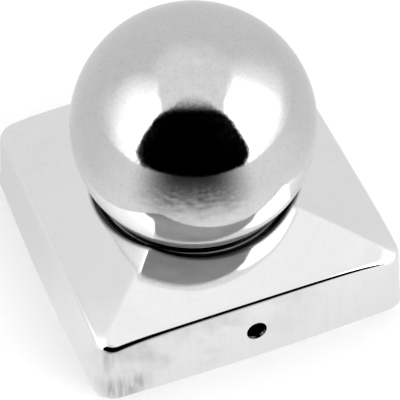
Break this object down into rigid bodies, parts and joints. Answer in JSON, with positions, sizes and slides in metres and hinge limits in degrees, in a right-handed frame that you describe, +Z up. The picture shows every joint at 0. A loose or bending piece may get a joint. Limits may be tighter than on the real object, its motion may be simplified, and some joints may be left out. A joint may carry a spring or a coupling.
{
  "type": "ball post cap",
  "caption": "Square pressed-steel post cap, open below, with a low pyramid top, a polished ball let into it and a screw hole in the wall.",
  "frame": {"origin": "middle of the open underside, on the plane the lower rim stands on", "axes": "+Z up through the ball's centre; -Y out of the wall with the screw hole that the picture shows"},
  "size_m": [0.0768, 0.0768, 0.066],
  "materials": {
    "base_cap_steel": "polished stainless steel",
    "ball_steel": "mirror-polished stainless steel"
  },
  "bodies": {
    "root": {"base_cap": "base_cap_steel", "ball": "ball_steel"}
  },
  "joints": []
}
